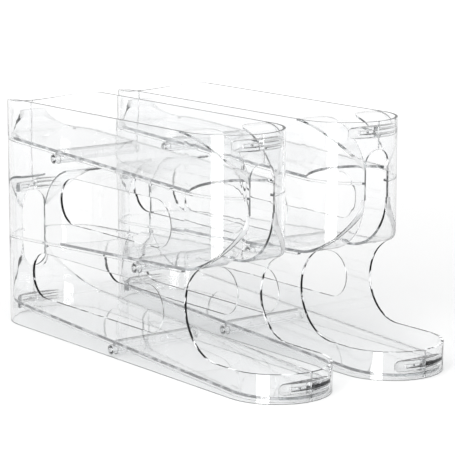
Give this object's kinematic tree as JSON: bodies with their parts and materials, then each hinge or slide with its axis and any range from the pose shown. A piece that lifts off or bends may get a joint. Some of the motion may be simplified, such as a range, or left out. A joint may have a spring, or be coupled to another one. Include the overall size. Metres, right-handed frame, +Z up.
{
  "type": "egg dispenser",
  "caption": "Clear free-standing egg dispenser: side by side lanes of snapped half shells with sloped ramps that roll eggs from the open top to a low front tray.",
  "frame": {"origin": "middle of the pair of lanes on the surface it stands on", "axes": "+Z up, -Y toward the trays at the front, +X toward lane b"},
  "size_m": [0.186, 0.356, 0.18],
  "materials": {
    "clear_shell": "clear gloss",
    "clear_ramp": "clear gloss",
    "clear_pin": "clear gloss"
  },
  "bodies": {
    "lane_a_frame": {"lane_a_right_shell": "clear_shell", "lane_a_top_ramp": "clear_ramp", "lane_a_middle_ramp": "clear_ramp", "lane_a_bottom_ramp": "clear_ramp", "lane_a_top_pin_plug": "clear_pin", "lane_a_middle_pin_plug": "clear_pin", "lane_a_bottom_pin_plug": "clear_pin"},
    "lane_a_left_half": {"lane_a_left_shell": "clear_shell", "lane_a_top_pin_socket": "clear_pin", "lane_a_middle_pin_socket": "clear_pin", "lane_a_bottom_pin_socket": "clear_pin"},
    "lane_b_frame": {"lane_b_left_shell": "clear_shell", "lane_b_top_ramp": "clear_ramp", "lane_b_middle_ramp": "clear_ramp", "lane_b_bottom_ramp": "clear_ramp", "lane_b_top_pin_socket": "clear_pin", "lane_b_middle_pin_socket": "clear_pin", "lane_b_bottom_pin_socket": "clear_pin"},
    "lane_b_right_half": {"lane_b_right_shell": "clear_shell", "lane_b_top_pin_plug": "clear_pin", "lane_b_middle_pin_plug": "clear_pin", "lane_b_bottom_pin_plug": "clear_pin"}
  },
  "joints": [
    {"name": "lane_a_left_half_pull", "type": "slide", "parent": "lane_a_frame", "child": "lane_a_left_half", "axis": [-1, 0, 0], "range_m": [0, 0.09]},
    {"name": "lane_b_place", "type": "slide", "parent": "lane_a_frame", "child": "lane_b_frame", "axis": [1, 0, 0], "range_m": [-0.02, 0.12]},
    {"name": "lane_b_right_half_pull", "type": "slide", "parent": "lane_b_frame", "child": "lane_b_right_half", "axis": [1, 0, 0], "range_m": [0, 0.09]}
  ]
}
